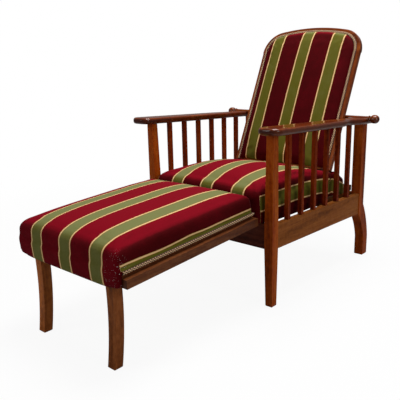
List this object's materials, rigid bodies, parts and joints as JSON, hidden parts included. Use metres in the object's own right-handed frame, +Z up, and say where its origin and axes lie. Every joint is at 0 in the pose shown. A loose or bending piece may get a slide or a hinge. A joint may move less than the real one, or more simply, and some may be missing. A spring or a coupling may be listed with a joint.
{
  "type": "reclining armchair with footrest",
  "caption": "Slatted wooden reclining armchair: hinged arched back leaning on a turned bar in notched arms, striped velvet seat and a pull-out padded footrest on sabre legs.",
  "frame": {"origin": "on the floor, under the middle of the whole chair with the footrest in its pictured place", "axes": "+Z up, -Y towards the footrest (the way the sitter faces), +X to the sitter's left"},
  "size_m": [0.77, 1.4155, 0.9878],
  "materials": {
    "polished_wood": "polished red-brown wood",
    "striped_velvet": "cut velvet, crimson with green and gold stripes",
    "jute_webbing": "woven webbing",
    "lining_cloth": "plain dark cotton",
    "iron": "dark plated iron"
  },
  "bodies": {
    "chair": {"arm_left": "polished_wood", "arm_right": "polished_wood", "corner_block_left": "polished_wood", "corner_block_right": "polished_wood", "front_post_left": "polished_wood", "front_post_right": "polished_wood", "front_rail": "polished_wood", "hinge_lower_leaf_left": "iron", "hinge_lower_leaf_right": "iron", "hinge_pin_left": "iron", "hinge_pin_right": "iron", "rear_post_left": "polished_wood", "rear_post_right": "polished_wood", "rear_rail": "polished_wood", "seat_cushion": "striped_velvet", "seat_flank_left": "striped_velvet", "seat_flank_right": "striped_velvet", "seat_front_border": "striped_velvet", "seat_front_member": "polished_wood", "seat_hinge_rail": "polished_wood", "seat_rear_member": "polished_wood", "seat_rear_stuffing": "striped_velvet", "seat_side_member_left": "polished_wood", "seat_side_member_right": "polished_wood", "seat_webbing": "jute_webbing", "side_rail_left": "polished_wood", "side_rail_right": "polished_wood", "slat_left_1": "polished_wood", "slat_left_2": "polished_wood", "slat_left_3": "polished_wood", "slat_left_4": "polished_wood", "slat_left_5": "polished_wood", "slat_left_6": "polished_wood", "slat_right_1": "polished_wood", "slat_right_2": "polished_wood", "slat_right_3": "polished_wood", "slat_right_4": "polished_wood", "slat_right_5": "polished_wood", "slat_right_6": "polished_wood"},
    "back": {"back_bottom_rail": "polished_wood", "back_lining": "lining_cloth", "back_pad": "striped_velvet", "back_stile_left": "polished_wood", "back_stile_right": "polished_wood", "back_top_rail": "polished_wood", "hinge_upper_leaf_left": "iron", "hinge_upper_leaf_right": "iron"},
    "bar": {"support_bar": "polished_wood"},
    "footrest": {"footrest_front_rail": "polished_wood", "footrest_leg_left": "polished_wood", "footrest_leg_right": "polished_wood", "footrest_pad": "striped_velvet", "footrest_rear_rail": "polished_wood", "footrest_runner_left": "polished_wood", "footrest_runner_right": "polished_wood", "footrest_slide_left": "polished_wood", "footrest_slide_right": "polished_wood", "footrest_webbing": "jute_webbing"}
  },
  "joints": [
    {"name": "back_recline", "type": "hinge", "parent": "chair", "child": "back", "pos_m": [0, 0.44932, 0.39826], "axis": [-1, 0, 0], "range_deg": [0, 15]},
    {"name": "bar_shift", "type": "slide", "parent": "chair", "child": "bar", "axis": [0, 0.9991, -0.0419], "range_m": [0, 0.08]},
    {"name": "footrest_slide", "type": "slide", "parent": "chair", "child": "footrest", "axis": [0, -1, 0], "range_m": [0, 0.25]}
  ],
  "couplings": [
    {"joint": "bar_shift", "follows": "back_recline", "m_per_rad": 0.3055}
  ]
}
